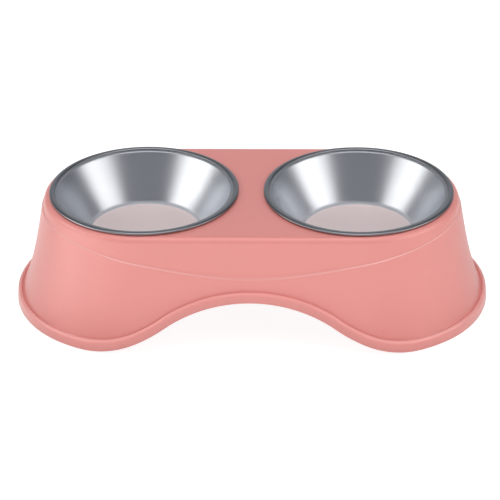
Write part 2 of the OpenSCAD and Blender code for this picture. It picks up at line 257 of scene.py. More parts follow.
class PETBOWL_PG_settings(bpy.types.PropertyGroup):
    """All the settings of the double pet bowl."""

    stand: bpy.props.PointerProperty(type=PETBOWL_PG_stand)
    bowl: bpy.props.PointerProperty(type=PETBOWL_PG_bowl)
    foot: bpy.props.PointerProperty(type=PETBOWL_PG_foot)
    finish: bpy.props.PointerProperty(type=PETBOWL_PG_finish)
    stage: bpy.props.PointerProperty(type=PETBOWL_PG_stage)


class Term:
    """A number in a node tree, so that a shape's rule reads as a formula."""

    def __init__(self, tree, socket):
        self.tree = tree
        self.socket = socket

    def math(self, operation, *others):
        node = self.tree.nodes.new("ShaderNodeMath")
        node.operation = operation
        for slot, value in zip(node.inputs, (self, *others)):
            link(self.tree, value, slot)
        return Term(self.tree, node.outputs[0])

    __add__ = partialmethod(math, "ADD")
    __sub__ = partialmethod(math, "SUBTRACT")
    __mul__ = partialmethod(math, "MULTIPLY")
    __truediv__ = partialmethod(math, "DIVIDE")
    __pow__ = partialmethod(math, "POWER")
    __abs__ = partialmethod(math, "ABSOLUTE")
    least = partialmethod(math, "MINIMUM")
    most = partialmethod(math, "MAXIMUM")

    def __rsub__(self, other):
        return self * -1 + other

    def root(self):
        return self.most(0).math("SQRT")

    def either(self, when_one, when_nought):
        """One of two numbers, as this one is 1 or 0."""
        return self * when_one + (1 - self) * when_nought

    def ramp(self, start, width):
        """0 before a start and 1 from a width past it. A width below nought looks back."""
        return ((self - start) / width).most(0).least(1)


def link(tree, value, socket):
    """Sets a socket to a value, or links it to a node's first output, a socket or a term."""
    if isinstance(value, bpy.types.Node):
        value = value.outputs[0]
    if isinstance(value, Term):
        value = value.socket
    if isinstance(value, bpy.types.NodeSocket):
        tree.links.new(value, socket)
    else:
        socket.default_value = value


def put(tree, kind, options=None, **inputs):
    """Adds a node, sets its options, and sets or links its inputs by name."""
    node = tree.nodes.new(kind)
    for name, value in (options or {}).items():
        setattr(node, name, value)
    for name, value in inputs.items():
        link(tree, value, node.inputs[name.replace("_", " ")])
    return node


def parts_of(tree, vector):
    """The X, Y and Z of a vector socket, as terms."""
    node = put(tree, "ShaderNodeSeparateXYZ", Vector=vector)
    return [Term(tree, socket) for socket in node.outputs]


def vector_of(tree, x, y, z):
    """A vector node made of three terms or numbers."""
    return put(tree, "ShaderNodeCombineXYZ", X=x, Y=y, Z=z)


def shape_tree(name, sizes):
    """A geometry node tree, its inputs, and its sizes as terms. It has an input for each size,
    and for its steps, place and material."""
    tree = bpy.data.node_groups.new(name, "GeometryNodeTree")
    kinds = {"Geometry": "Geometry", **dict.fromkeys(sizes, "Float")}
    kinds |= {"Steps": "Int", "Place": "Vector", "Material": "Material"}
    for key, kind in kinds.items():
        tree.interface.new_socket(key, in_out="INPUT", socket_type=f"NodeSocket{kind}")
    tree.interface.new_socket("Geometry", in_out="OUTPUT", socket_type="NodeSocketGeometry")
    entry = tree.nodes.new("NodeGroupInput").outputs
    return tree, entry, SimpleNamespace(**{size: Term(tree, entry[size]) for size in sizes})


def vector_attribute(tree, name):
    """The parts of a named vector attribute, as terms."""
    options = {"data_type": "FLOAT_VECTOR"}
    node = put(tree, "GeometryNodeInputNamedAttribute", options, Name=name)
    return parts_of(tree, node.outputs["Attribute"])


def store_place(tree, geometry, name):
    """Keeps each point's place on it under a name."""
    place = tree.nodes.new("GeometryNodeInputPosition")
    options = {"data_type": "FLOAT_VECTOR", "domain": "POINT"}
    inputs = {"Geometry": geometry, "Name": name, "Value": place}
    return put(tree, "GeometryNodeStoreNamedAttribute", options, **inputs)


def end_tree(tree, entry, geometry):
    """Ends a shape's tree in real geometry with its material."""
    smooth = put(tree, "GeometryNodeSetShadeSmooth", Geometry=geometry)
    real = put(tree, "GeometryNodeRealizeInstances", Geometry=smooth)
    dressed = put(tree, "GeometryNodeSetMaterial", Geometry=real, Material=entry["Material"])
    put(tree, "NodeGroupOutput", Geometry=dressed)
    return tree


def move(tree, entry, geometry, x, y, z):
    """Puts each point at its spot, moved by the shape's place."""
    inputs = {"Position": vector_of(tree, x, y, z), "Offset": entry["Place"]}
    return put(tree, "GeometryNodeSetPosition", Geometry=geometry, **inputs)


def spin_tree():
    """Turns a section round an upright axis. The section's points hold their radius, height
    and distance along it, and the turned points keep these and their direction."""
    tree, entry, _ = shape_tree("Spun section", ())
    circle = put(tree, "GeometryNodeCurvePrimitiveCircle", Resolution=entry["Steps"], Radius=1)
    around = store_place(tree, circle, "turn")
    line = put(tree, "GeometryNodeMeshToCurve", Mesh=entry["Geometry"])
    swept = put(tree, "GeometryNodeCurveToMesh", Curve=around, Profile_Curve=line)
    radius, height, _ = vector_attribute(tree, "section")
    cosine, sine, _ = vector_attribute(tree, "turn")
    turned = move(tree, entry, swept, cosine * radius, sine * radius, height)
    welded = put(tree, "GeometryNodeMergeByDistance", Geometry=turned, Distance=WELD)
    return end_tree(tree, entry, welded)


def wall_rule(s, top, slope, depth, foot_depth, way_x, way_y):
    """Radius of the stand's wall at a depth below the deck, along a way out from its centre, in
    plain numbers or in terms."""
    fuller = s.foot_corner * (way_x * way_y * 2) ** 2
    spread = s.foot_flare + fuller - s.foot_tuck * way_y ** 4
    return top + depth * slope + spread * (depth / foot_depth) ** 4


def shell_tree(sizes):
    """Sweeps the stand's section round a path with straight sides and round ends, and lets it
    follow the ridge, the arch and the lip. The section's points say how far out and how far
    down they lie, in shares of the stand's own lines."""
    tree, entry, s = shape_tree("Moulded shell", sizes)
    across = s.band * 2
    bend = {"Radius": s.band, "Count": 64, "Limit Radius": True}
    quad = "GeometryNodeCurvePrimitiveQuadrilateral"
    box = put(tree, quad, Width=s.pitch * 2 + across, Height=across)
    stadium = put(tree, "GeometryNodeFilletCurve", {"mode": "POLY"}, Curve=box, **bend)
    stations = put(tree, "GeometryNodeResampleCurve", Curve=stadium, Count=entry["Steps"])
    path = store_place(tree, stations, "path")
    line = put(tree, "GeometryNodeMeshToCurve", Mesh=entry["Geometry"])
    inputs = {"Curve": line, "Profile Curve": path, "Fill Caps": True}
    swept = put(tree, "GeometryNodeCurveToMesh", **inputs)

    # Each station's point on the line between the bowls' centres, and its way out
    path_x, path_y, _ = vector_attribute(tree, "path")
    spine = path_x.most(s.pitch * -1).least(s.pitch)
    reach = ((path_x - spine) ** 2 + path_y ** 2).root()
    way_x = (path_x - spine) / reach
    way_y = path_y / reach
    foot_depth = s.stand_h - s.lip_h
    top = s.band + s.ridge_step
    slope = s.draft.math("TANGENT")

    # The ridge dips along a squared cosine, and its ledge softens in the middle
    ridge_at = abs(spine + way_x * s.band).least(s.ridge_run / 2)
    dip = (ridge_at * math.pi / s.ridge_run).math("COSINE") ** 2
    ridge = s.ridge_end + (s.ridge_mid - s.ridge_end) * dip
    ledge = s.ridge_ledge + s.ridge_soft * dip ** 3

    # The arch: one circle at its crown, another at each end of its span
    radii = (s.arch_half ** 2 + s.arch_rise ** 2) / (s.arch_rise * 2)
    crown_r = radii * s.arch_crown
    end_r = radii - crown_r
    foot_r = wall_rule(s, top, slope, foot_depth, foot_depth, way_x, way_y)
    arch_at = abs(spine + way_x * (foot_r + s.lip_out))
    from_end = (s.arch_half - arch_at).most(0)
    crown_drop = (crown_r ** 2 - arch_at ** 2).root()
    end_drop = (end_r ** 2 - from_end ** 2).root()
    near_crown = arch_at.math("LESS_THAN", s.arch_half * s.arch_crown)
    arch = near_crown.either(s.arch_rise - crown_r + crown_drop, end_r - end_drop)
    run = near_crown.either(arch_at / crown_drop.most(MM), from_end / end_drop.most(MM))

    # The lip's band keeps its height square to the arch
    blend = (arch / (s.arch_rise * s.lip_blend)).least(1)
    end_lip_h = s.lip_h + s.lip_rise
    lip_h = end_lip_h + (s.arch_lip_h - end_lip_h) * blend
    groove = s.stand_h - arch - lip_h * (run ** 2 + 1).root()

    wall_share, step_share, out = vector_attribute(tree, "out_rule")
    ridge_share, groove_share, bottom_share = vector_attribute(tree, "down_rule")
    ledge_share, down, _ = vector_attribute(tree, "down_more")
    depth = (
        ridge * ridge_share + groove * groove_share
        + (s.stand_h - arch) * bottom_share + ledge * ledge_share + down
    )
    wall_depth = depth.most(0).least(groove)
    wall = wall_rule(s, top, slope, wall_depth, foot_depth, way_x, way_y)
    radius = wall * wall_share - s.ridge_step * step_share + out
    x, y, z = spine + way_x * radius, way_y * radius, s.deck_z - depth
    return end_tree(tree, entry, move(tree, entry, swept, x, y, z))


def shape(blank, tree, values):
    """Runs a tree on a blank object, which takes the mesh that comes out."""
    modifier = blank.modifiers.new(tree.name, "NODES")
    modifier.node_group = tree
    for item in tree.interface.items_tree:
        if item.item_type == "SOCKET" and item.in_out == "INPUT" and item.name in values:
            modifier[item.identifier] = values[item.name]
    return settle(blank)


def settle(piece):
    """Makes an object's modifiers real, with all faces outwards, and gives the object."""
    bpy.context.view_layer.update()
    graph = bpy.context.evaluated_depsgraph_get()
    mesh = bpy.data.meshes.new_from_object(piece.evaluated_get(graph))
    piece.modifiers.clear()
    piece.data = mesh
    work = bmesh.new()
    work.from_mesh(mesh)
    bmesh.ops.recalc_face_normals(work, faces=work.faces)
    work.to_mesh(mesh)
    work.free()
    return piece


def new_piece(name, data):
    """A new object in the scene, at the origin."""
    piece = bpy.data.objects.new(name, data)
    bpy.context.scene.collection.objects.link(piece)
    return piece


def line_piece(name, attributes, places):
    """A line of joined points with vector attributes on them, as an object."""
    mesh = bpy.data.meshes.new(name)
    mesh.from_pydata(places, [(i, i + 1) for i in range(len(places) - 1)], [])
    for key, vectors in attributes.items():
        store = mesh.attributes.new(key, "FLOAT_VECTOR", "POINT")
        for item, vector in zip(store.data, vectors):
            item.vector = vector
    return new_piece(name, mesh)


def spun(name, section, place, steps, material=None):
    """A piece turned from a section of (radius, height) points, closed at its axis."""
    along = 0
    rows = []
    last = section[0]
    for point in section:
        along += math.dist(point, last)
        rows.append((point[0], point[1], along))
        last = point
    places = [(radius, 0, height) for radius, height, _ in rows]
    blank = line_piece(name, {"section": rows}, places)
    tree = bpy.data.node_groups.get("Spun section") or spin_tree()
    return shape(blank, tree, {"Steps": steps, "Place": place, "Material": material})


def shares(steps, first=1):
    """The shares of a run at its steps, up to 1."""
    return [i / steps for i in range(first, steps + 1)]


def oval(centre, half_w, half_h, start, end, steps):
    """Points on a part of an oval, with its angles in degrees."""
    x, y = centre
    angles = [math.radians(start + (end - start) * i / steps) for i in range(steps + 1)]
    return [(x + half_w * math.cos(a), y + half_h * math.sin(a)) for a in angles]


def arc(centre, radius, start, end, steps):
    """Points on an arc, with its angles in degrees."""
    return oval(centre, radius, radius, start, end, steps)


def boolean(piece, operation, tools):
    """Joins other solids to a piece, or cuts them out of it, and removes them."""
    for tool in tools:
        modifier = piece.modifiers.new(tool.name, "BOOLEAN")
        modifier.operation = operation
        modifier.object = tool
        modifier.solver = "MANIFOLD"
    settle(piece)
    for tool in tools:
        bpy.data.objects.remove(tool)


def hand_over(piece, sharp_from, body, slot, *nodes):
    """Smooths a finished piece but for edges sharper than an angle, and puts it on its body in
    place of CAD nodes."""
    piece.data.shade_smooth()
    piece.data.set_sharp_from_angle(angle=math.radians(sharp_from))
    work = bmesh.new()
    work.from_mesh(piece.data)
    open_edges = sum(1 for edge in work.edges if not edge.is_manifold)
    work.free()
    if open_edges:
        raise RuntimeError(f"{piece.name} has {open_edges} open edges")
    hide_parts(*nodes)
    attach(piece, body)


def surface_material(name, **constants):
    """A new material, its tree and its surface shader with constants set on it."""
    material = bpy.data.materials.new(name)
    material.use_nodes = True
    tree = material.node_tree
    surface = tree.nodes["Principled BSDF"].inputs
    for key, value in constants.items():
        surface[key.replace("_", " ")].default_value = value
    return material, tree, surface


def noise(tree, vector, scale, detail=2, roughness=0.5):
    """A noise from -0.5 to 0.5, as a term."""
    inputs = {"Vector": vector, "Scale": scale, "Detail": detail, "Roughness": roughness}
    return Term(tree, put(tree, "ShaderNodeTexNoise", **inputs).outputs[0]) - 0.5


def object_place(tree):
    """The place on the piece, in metres."""
    return tree.nodes.new("ShaderNodeTexCoord").outputs["Object"]


def own_parts(tree, name):
    """The parts of a vector that the piece's points hold, as terms."""
    own = put(tree, "ShaderNodeAttribute", {"attribute_name": name})
    return parts_of(tree, own.outputs["Vector"])


def mix(tree, factor, first, second):
    """A colour between two, each a socket or three numbers."""
    node = put(tree, "ShaderNodeMix", {"data_type": "RGBA"})
    link(tree, factor, node.inputs["Factor"])
    for colour_in, value in ((node.inputs[6], first), (node.inputs[7], second)):
        link(tree, value if isinstance(value, bpy.types.NodeSocket) else (*value, 1), colour_in)
    return node.outputs[2]


def toned(base, amount):
    """A colour made lighter or darker by a number."""
    return [min(1, value * amount) for value in base]


def tint(tree, base, amount):
    """A colour made up to a fifth lighter or darker by a term from -0.5 to 0.5."""
    return mix(tree, amount + 0.5, toned(base, 0.8), toned(base, 1.2))


def bump(tree, surface, height, distance, strength=1.0):
    """Lets a term raise the surface."""
    inputs = {"Height": height, "Distance": distance, "Strength": strength}
    link(tree, put(tree, "ShaderNodeBump", **inputs), surface["Normal"])


def moulded_plastic(finish):
    """Satin moulded plastic: a fine spark-eroded grain, a slow drift of colour and gloss, a
    painted highlight on the ridge's and lip's edges, and painted shade in the crease, above the
    ridge and towards the foot."""
    material, tree, surface = surface_material("Moulded plastic", IOR=1.49)
    place = object_place(tree)
    grain = noise(tree, place, 1 / finish.grain, detail=3, roughness=0.6)
    drift = noise(tree, place, scale=14)
    mottle = noise(tree, place, scale=120)
    tinted = tint(tree, finish.plastic, drift * 0.12 + mottle * 0.06)

    # The painted highlight and painted shade are full from 100 mm off the middle, and less between
    # the bowls
    full_from, middle_share = 0.1, 0.4
    off_middle = abs(parts_of(tree, place)[0]).ramp(0, full_from)
    painted_light = own_parts(tree, "down_more")[2] * (off_middle * (1 - middle_share) + middle_share)
    # Painted highlight mixes the colour towards white, painted shade mixes it towards black
    highlit = mix(tree, painted_light * finish.painted_highlight, tinted, (1, 1, 1))
    darkened = mix(tree, painted_light * -finish.painted_shade, highlit, (0, 0, 0))
    link(tree, darkened, surface["Base Color"])
    link(tree, grain * 0.12 + drift * 0.1 + finish.plastic_rough, surface["Roughness"])
    bump(tree, surface, grain, 0.02 * MM, 0.6)
    return material


def spun_steel(finish, bowl):
    """Spun steel: fine lines round the axis, satin on the wall, matt on the floor and polished
    on the rolled rim. The rim and the ring inside it take darker copies of the steel's colour,
    painted shade, and the floor's colour holds a painted warm reflection."""
    base = [value * (1 + finish.steel_gain) for value in finish.steel]
    material, tree, surface = surface_material("Spun steel", Metallic=1, Anisotropic_Rotation=0.25)
    radius, _, along = own_parts(tree, "section")
    cosine, sine, _ = own_parts(tree, "turn")
    line_run, band_run, band_widths = 0.8, 1.2, 12
    lines_at = vector_of(tree, along / finish.brush, cosine * line_run, sine * line_run)
    lines = noise(tree, lines_at, 1, detail=3, roughness=0.7)
    band_w = finish.brush * band_widths
    bands = noise(tree, vector_of(tree, along / band_w, cosine * band_run, sine * band_run), 1)

    # Each zone comes in over a millimetre
    bead_edge = RIM_R - bowl.rim_w
    neck_edge = bead_edge - bowl.ring_w - bowl.neck_r / 2
    matt_edge = (bowl.floor_d + bowl.corner_r) / 2
    polished = radius.ramp(bead_edge - MM / 2, MM)
    ring = radius.ramp(neck_edge - MM / 2, MM)
    matt = radius.ramp(matt_edge, -MM)
    dull = radius.ramp(matt_edge + bowl.corner_r / 2, -MM)
    satin = lines * 0.08 + bands * 0.04 + finish.steel_rough
    inside = dull.either(finish.floor_rough, satin)
    ring_or_inside = ring.either(finish.ring_rough, inside)
    link(tree, polished.either(finish.rim_rough, ring_or_inside), surface["Roughness"])
    link(tree, (1 - dull) * (1 - ring) * finish.brushing, surface["Anisotropic"])
    brushed = tint(tree, base, lines * 0.06 + bands * 0.06)
    # The matt floor's colour carries a painted warm reflection
    dished = mix(tree, matt, brushed, finish.bowl_floor_and_warm_reflection)
    # Painted shade: the ring and the polished rim take darker copies of the steel's colour
    ringed = mix(tree, ring, dished, toned(base, finish.ring_tone_painted_shade))
    rim = mix(tree, polished, ringed, toned(base, finish.rim_tone_painted_shade))
    link(tree, rim, surface["Base Color"])
    bump(tree, surface, lines, 0.002 * MM, 0.4)
    tangent = put(tree, "ShaderNodeTangent", {"direction_type": "RADIAL", "axis": "Z"})
    link(tree, tangent, surface["Tangent"])
    return material


def foot_rubber(finish):
    """Matt rubber with a fine dusty grain."""
    material, tree, surface = surface_material("Foot rubber", IOR=1.45)
    place = object_place(tree)
    grain = noise(tree, place, scale=2500, detail=3, roughness=0.6)
    dust = noise(tree, place, scale=300)
    link(tree, tint(tree, finish.rubber, grain * 0.2 + dust * 0.2), surface["Base Color"])
    link(tree, grain * 0.1 + 0.75, surface["Roughness"])
    bump(tree, surface, grain, 0.03 * MM)
    return material


def lip_corner(s):
    """Centre of the lip's rounded top edge, out from the foot of the wall and down from the
    crease, and its arc's two angles: it touches the falling shelf and the leaning face."""
    lip_out = s.lip_out + s.lip_spread
    lip_h = s.lip_h + s.lip_rise
    fall = math.atan2(s.lip_fall, lip_out)
    lean = math.atan2(s.lip_lean, lip_h)
    reach = s.lip_edge_r - lip_out * math.cos(lean) + lip_h * math.sin(lean)
    scale = math.cos(fall + lean)
    out = (s.lip_edge_r * math.sin(lean) - math.cos(fall) * reach) / scale
    down = (s.lip_edge_r * math.cos(lean) - math.sin(fall) * reach) / scale
    return out, down, 90 - math.degrees(fall), math.degrees(lean)


def edge_arc(s, radius, inset, steps):
    """The deck's rounded edge as (out, up) points, from the deck to the band. It touches both,
    with both moved in by an inset."""
    slope = s.draft
    out = RIM_R + s.deck_margin - inset + (inset + radius) * math.tan(slope)
    centre = (out - radius / math.cos(slope), -inset - radius)
    return arc(centre, radius, 90, math.degrees(slope), steps)


# Painted light along the stand's section, put into the plastic's colour: above nought a painted
# highlight on an edge, below nought painted shade in a hollow, just above the ridge and low on the
# wall and lip
SHADE_ABOVE_RIDGE = -0.25
HIGHLIGHT_ON_RIDGE = 1.4
SHADE_AT_WALL_FOOT = -0.6
SHADE_IN_CREASE = -0.6
HIGHLIGHT_PAST_CREASE = 0.8
HIGHLIGHT_ON_LIP_TOP = 1
SHADE_ON_LIP_FACE = -1.5
SHADE_AT_LIP_FOOT = -1.3


def shell_rows(s):
    """Rows of the stand's section, from the deck down the outside, round the lip and up the
    inside. Each row gives its shares of the wall's radius and of the ridge's step, its place
    out, its shares of the ridge's, the crease's and the bottom's depth and of the ledge, its
    place down and its painted highlight or painted shade."""
    rows = []

    def row(wall=0, step=0, out=0.0, ridge=0, crease=0, bottom=0, ledge=0, down=0.0, painted_light=0.0):
        rows.append(((wall, step, out), (ridge, crease, bottom), (ledge, down, painted_light)))

    edge = edge_arc(s, s.deck_edge_r, 0, 14)
    edge_end = -edge[-1][1]
    shelf = s.wall + s.crease_dip
    lip_out = s.lip_out + s.lip_spread

    # Deck, its rounded edge and the band above the ridge, whose last row carries painted shade
    row(out=edge[0][0] - s.deck_edge_r)
    for out, up in edge:
        row(out=out, down=-up)
    for t in shares(8):
        row(wall=1, step=1, ridge=t, down=edge_end * (1 - t), painted_light=SHADE_ABOVE_RIDGE * (t == 1))

    # Ledge of the ridge, with a painted highlight, then the wall down to the crease, darker
    # towards its foot with painted shade
    for t in shares(8):
        row(wall=1, step=1 - t, ridge=1, ledge=t, painted_light=HIGHLIGHT_ON_RIDGE * min(1, 4 * (1 - t)))
    for t in shares(24):
        row(wall=1, ridge=1 - t, ledge=1 - t, crease=t, painted_light=SHADE_AT_WALL_FOOT * t**3)
    out, down, start, end = lip_corner(s)
    crease_w = s.crease * (out + s.lip_edge_r * math.cos(math.radians(start)))
    # The crease carries painted shade, turning to a painted highlight towards the lip's edge
    for t in shares(8):
        hollow = t * (1 - t) ** 2 * 27 / 4  # 1 where it is deepest
        x = crease_w * t
        down_here = hollow * s.crease_dip + x * s.lip_fall / lip_out
        painted_light = HIGHLIGHT_PAST_CREASE * t**3 + SHADE_IN_CREASE * hollow * (1 - t)
        row(wall=1, out=x, crease=1, down=down_here, painted_light=painted_light)

    # Rounded top edge of the lip with a painted highlight, then its face and its bottom edges with
    # painted shade
    top_edge = arc((out, -down), s.lip_edge_r, start, end, 10)
    for t, (x, up) in zip(shares(10, 0), top_edge):
        row(wall=1, out=x, crease=1, down=-up, painted_light=HIGHLIGHT_ON_LIP_TOP + SHADE_ON_LIP_FACE * t**2)
    foot = s.lip_foot_r
    for i, (x, up) in enumerate(arc((lip_out - foot, foot), foot, 0, -90, 4)):
        row(wall=1, out=x, bottom=1, down=-up, painted_light=SHADE_AT_LIP_FOOT * (i == 0))
    for x, up in arc((lip_out - s.wall + foot, foot), foot, -90, -180, 4):
        row(wall=1, out=x, bottom=1, down=-up)

    # Inside of the lip, of the wall and of the band, up to the underside of the deck
    row(wall=1, out=lip_out - s.wall, crease=1, down=shelf + foot)
    for x, up in arc((lip_out - s.wall - foot, -shelf - foot), foot, 0, 90, 4)[1:]:
        row(wall=1, out=x, crease=1, down=-up)
    for t in shares(12, 0):
        row(wall=1, out=-s.wall, ridge=t, ledge=t, crease=1 - t, down=shelf * (1 - t))
    row(wall=1, step=1, out=-s.wall, ridge=1)
    for out, up in reversed(edge_arc(s, s.deck_edge_r * s.inside_edge, s.wall, 8)):
        row(out=out, down=-up)
    return rows


def make_shell(s, material):
    """The moulded shell, swept from its section."""
    rows = shell_rows(s)
    keys = ("out_rule", "down_rule", "down_more")
    attributes = {key: [row[i] for row in rows] for i, key in enumerate(keys)}
    blank = line_piece("stand_shell", attributes, [(0, 0, -MM * i) for i in range(len(rows))])
    as_set = (
        "draft", "foot_flare", "foot_corner", "foot_tuck", "ridge_step", "ridge_ledge",
        "ridge_soft", "ridge_run", "arch_rise", "arch_crown", "lip_h", "lip_rise", "lip_out",
        "lip_blend", "arch_lip_h",
    )
    sizes = {
        **{name: getattr(s, name) for name in as_set},
        "pitch": HALF_PITCH,
        "band": RIM_R + s.deck_margin,
        "deck_z": DECK_Z,
        "stand_h": STAND_H,
        "ridge_end": s.ridge_end * (STAND_H - s.lip_h),
        "ridge_mid": s.ridge_mid * (STAND_H - s.arch_rise - s.arch_lip_h),
        "arch_half": s.arch_span / 2,
    }
    values = {**sizes, "Steps": s.stations, "Material": material}
    return shape(blank, shell_tree(sizes), values)


def prism(name, outline, thickness, turn):
    """A flat plate from an outline of (x, z) points, centred on Y and then placed."""
    work = bmesh.new()
    verts = [work.verts.new((x, -thickness / 2, z)) for x, z in outline]
    face = work.faces.new(verts)
    grown = bmesh.ops.extrude_face_region(work, geom=[face])["geom"]
    moved = [item for item in grown if isinstance(item, bmesh.types.BMVert)]
    bmesh.ops.translate(work, vec=(0, thickness, 0), verts=moved)
    bmesh.ops.recalc_face_normals(work, faces=work.faces)
    mesh = bpy.data.meshes.new(name)
    work.to_mesh(mesh)
    work.free()
    mesh.transform(turn)
    return new_piece(name, mesh)


def disc(name, radius, low, high, place, steps):
    """A plain round solid that a boolean uses."""
    return spun(name, [(0, low), (radius, low), (radius, high), (0, high)], place, steps)


def top_of(node):
    """The middle of a CAD node's top, and its radius."""
    low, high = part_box(node)
    return Vector(((low.x + high.x) / 2, (low.y + high.y) / 2, high.z)), (high.x - low.x) / 2


def wall_radius(s, depth, heading=0.0):
    """Radius of the stand's wall at a depth below the deck, along a heading from its centre."""
    top = RIM_R + s.deck_margin + s.ridge_step
    way = (math.cos(heading), math.sin(heading))
    return wall_rule(s, top, math.tan(s.draft), depth, STAND_H - s.lip_h, *way)


def underside(s, bowl, foot):
    """Seats, collars, cross ribs, and bosses with gussets, as what is added and what is cut."""
    hole_r = RIM_R - bowl.rim_w - bowl.ring_w + bowl.sheet + s.hole_clear
    added = []
    cut = []
    over = MM
    hole_steps, bore_steps, pocket_steps, boss_steps = 192, 48, 64, 128
    for side in (-1, 1):
        centre = (side * HALF_PITCH, 0, 0)
        top = DECK_Z - s.wall / 2
        low = DECK_Z - s.collar_h
        added.append(disc("collar", hole_r + s.collar_wall, low, top, centre, hole_steps))
        edge = s.seat_edge_r
        seat_r = RIM_R - bowl.rim_w / 2
        seat = [(0, top), (seat_r, top)]
        seat += arc((seat_r - edge, SEAT_Z - edge), edge, 0, 90, 4)
        added.append(spun("seat", seat + [(0, SEAT_Z)], centre, hole_steps))
        edge = s.hole_edge_r
        hole = [(0, low - over), (hole_r, low - over)]
        hole += arc((hole_r + edge, SEAT_Z - edge), edge, 180, 90, 5)
        hole += [(hole_r + edge, SEAT_Z + over), (0, SEAT_Z + over)]
        cut.append(spun("hole", hole, centre, hole_steps))
        rib_x = side * (HALF_PITCH - hole_r - s.collar_wall) / 2
        middle_r = s.deck_edge_r * (1 + s.inside_edge) / 2
        half = [(out, DECK_Z + up) for out, up in edge_arc(s, middle_r, s.wall / 2, 4)]
        half.append((wall_radius(s, s.rib_h) - s.ridge_step - s.wall / 2, DECK_Z - s.rib_h))
        outline = [(-out, z) for out, z in half] + half[::-1]
        across = Matrix.Translation((rib_x, 0, 0)) @ Matrix.Rotation(math.pi / 2, 4, "Z")
        added.append(prism("rib", outline, s.rib_wall, across))
    foot_depth = STAND_H - s.lip_h
    under_shelf = DECK_Z - foot_depth + s.lip_rise - s.wall - s.crease_dip
    base = foot.pad_h
    web_top = base + s.boss_web
    top = base + s.boss_h
    for name in FOOT_NODES:
        place, _ = top_of(name)
        place.z = 0
        outwards = place - Vector((math.copysign(HALF_PITCH, place.x), 0, 0))
        heading = math.atan2(outwards.y, outwards.x)
        added.append(disc("boss", s.boss_d / 2, base, top, place, boss_steps))
        away = outwards.length + s.wall / 2
        inner = wall_radius(s, foot_depth, heading) - away
        at_top = wall_radius(s, DECK_Z - top, heading) - away
        outline = [
            (0, base), (inner + s.lip_out, base), (inner + s.lip_out, under_shelf),
            (inner, DECK_Z - foot_depth - s.wall / 2), (at_top, top), (0, top),
        ]
        turn = Matrix.Translation(place) @ Matrix.Rotation(heading, 4, "Z")
        added.append(prism("gusset", outline, s.rib_wall, turn))
        bore_r = foot.stem_d / 2 + foot.stem_clear
        cut.append(disc("bore", bore_r, base - over, web_top + over, place, bore_steps))
        pocket_r = s.boss_d / 2 - s.rib_wall
        cut.append(disc("pocket", pocket_r, web_top, top + over, place, pocket_steps))
    return added, cut


def bowl_section(b):
    """Section of a bowl over its seat: up the inside, over the rolled rim, round its curl and
    down the outside."""
    depth = BOWL_HIGH.z - BOWL_LOW.z - b.sheet
    ring_z = b.sheet + b.seat_clear
    floor_z = b.rim_h - depth
    corner = Vector((b.floor_d / 2, floor_z + b.corner_r))
    neck = Vector((RIM_R - b.rim_w - b.ring_w, ring_z - b.neck_r))
    way = neck - corner
    lean = math.degrees(math.acos((b.neck_r + b.corner_r) / way.length) - math.atan2(way.y, way.x))
    curl = (RIM_R - b.rim_w / 2, b.rim_h / 2)

    def bead(inset, start, end, steps):
        return oval(curl, b.rim_w / 2 - inset, b.rim_h / 2 - inset, start, end, steps)

    curl_start = 180 + math.degrees(math.asin(1 - 2 * ring_z / b.rim_h))
    curl_end = -105
    floor_steps = 6
    floor_radii = [corner.x * i / floor_steps for i in range(floor_steps)]
    return (
        [(radius, floor_z) for radius in floor_radii]
        + arc(corner, b.corner_r, -90, -lean, 10)
        + arc(neck, b.neck_r, 180 - lean, 90, 10)
        + bead(0, curl_start, curl_end, 36)
        + bead(b.sheet, curl_end, 180, 24)
        + [(curl[0] - b.rim_w / 2 + b.sheet, ring_z - b.sheet)]
        + arc(neck, b.neck_r - b.sheet, 90, 180 - lean, 8)
        + arc(corner, b.corner_r + b.sheet, -lean, -90, 10)
        + [(radius, floor_z - b.sheet) for radius in reversed(floor_radii)]
    )


def foot_section(f, radius, web_top):
    """Section of a rubber foot: grip rings under a pad, a stem and a barb."""
    hollow = radius / 3
    hollow_h = f.pad_h / 4
    rings_from = hollow + hollow_h / 2
    ring = (radius - f.pad_edge_r - rings_from) / 5
    points = [(0, hollow_h), (hollow, hollow_h), (rings_from, 0)]
    for i in (1, 3):
        start = rings_from + ring * i
        points += [(start, 0), (start + ring / 3, f.grip_depth)]
        points += [(start + ring * 2 / 3, f.grip_depth), (start + ring, 0)]
    points += arc((radius - f.pad_edge_r, f.pad_edge_r), f.pad_edge_r, -90, 0, 8)
    top_edge = f.pad_edge_r / 3
    points += arc((radius - top_edge, f.pad_h - top_edge), top_edge, 0, 90, 4)
    barb = web_top + f.stem_clear
    stem_r, barb_r, tip_r = f.stem_d / 2, f.barb_d / 2, f.stem_d * 0.35
    return points + [
        (stem_r, f.pad_h), (stem_r, barb), (barb_r, barb), (barb_r, barb + f.barb_h / 6),
        (tip_r, barb + f.barb_h), (0, barb + f.barb_h),
    ]


class PETBOWL_OT_stand(bpy.types.Operator):
    """Moulded stand, with its ridge, arches and lip, and its underside"""

    bl_idname = "petbowl.stand"
    bl_label = "Moulded stand"

    def execute(self, context):
        settings = context.scene.petbowl
        material = moulded_plastic(settings.finish)
        stand = make_shell(settings.stand, material)
        stand.name = "moulded_stand"
        added, cut = underside(settings.stand, settings.bowl, settings.foot)
        boolean(stand, "UNION", added)
        boolean(stand, "DIFFERENCE", cut)
        stand.data.materials.clear()
        stand.data.materials.append(material)
        hand_over(stand, 32, "stand", "moulded_plastic", "stand")
        return {"FINISHED"}


